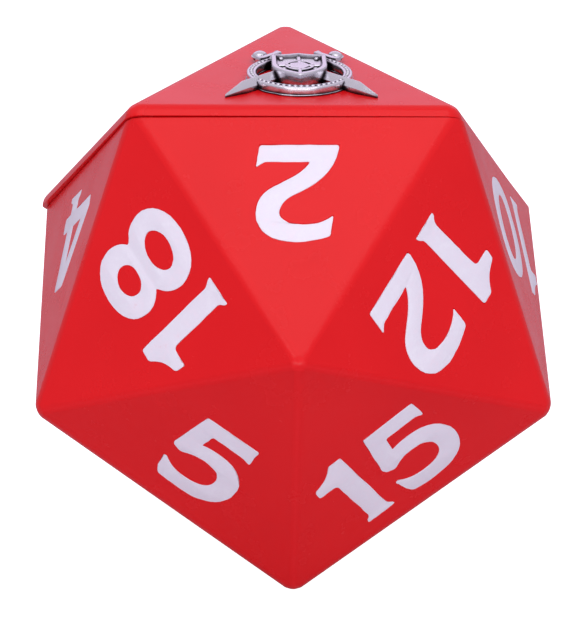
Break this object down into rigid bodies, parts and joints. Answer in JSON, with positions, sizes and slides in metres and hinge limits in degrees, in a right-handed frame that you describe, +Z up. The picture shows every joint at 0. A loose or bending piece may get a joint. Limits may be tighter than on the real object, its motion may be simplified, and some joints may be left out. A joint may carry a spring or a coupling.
{
  "type": "dice box",
  "caption": "Twenty-sided die standing on a face, hollow for dice, with a five-sided lift-off lid at one corner, engraved white numerals and a silver emblem.",
  "frame": {"origin": "on the ground, at the middle of the felt pad under the bottom face", "axes": "+Z up, +Y towards the back corner on the lid's own axis, +X to the right seen from the face of the 2"},
  "size_m": [0.1453, 0.1647, 0.1408],
  "materials": {
    "red_body": "gloss red paint on cast resin",
    "red_lid": "gloss red paint on cast resin",
    "white_enamel": "white enamel brushed by hand into the engraved numerals",
    "antique_silver": "antique silver, bright on the raised parts and dark in the recesses",
    "black_felt": "short black felt"
  },
  "bodies": {
    "box": {"body_shell": "red_body", "base_felt": "black_felt", "numeral_2": "white_enamel", "numeral_3": "white_enamel", "numeral_4": "white_enamel", "numeral_5": "white_enamel", "numeral_7": "white_enamel", "numeral_9": "white_enamel", "tens_of_10": "white_enamel", "units_of_10": "white_enamel", "tens_of_11": "white_enamel", "units_of_11": "white_enamel", "tens_of_12": "white_enamel", "units_of_12": "white_enamel", "tens_of_13": "white_enamel", "units_of_13": "white_enamel", "tens_of_15": "white_enamel", "units_of_15": "white_enamel", "tens_of_17": "white_enamel", "units_of_17": "white_enamel", "tens_of_18": "white_enamel", "units_of_18": "white_enamel", "tens_of_19": "white_enamel", "units_of_19": "white_enamel", "underline_9": "white_enamel"},
    "lid": {"lid_shell": "red_lid", "emblem": "antique_silver", "numeral_6": "white_enamel", "numeral_8": "white_enamel", "tens_of_14": "white_enamel", "units_of_14": "white_enamel", "tens_of_16": "white_enamel", "units_of_16": "white_enamel", "underline_6": "white_enamel"}
  },
  "joints": [
    {"name": "lid_lift", "type": "slide", "parent": "box", "child": "lid", "axis": [0, 0.6071, 0.7947], "range_m": [0, 0.15]}
  ]
}
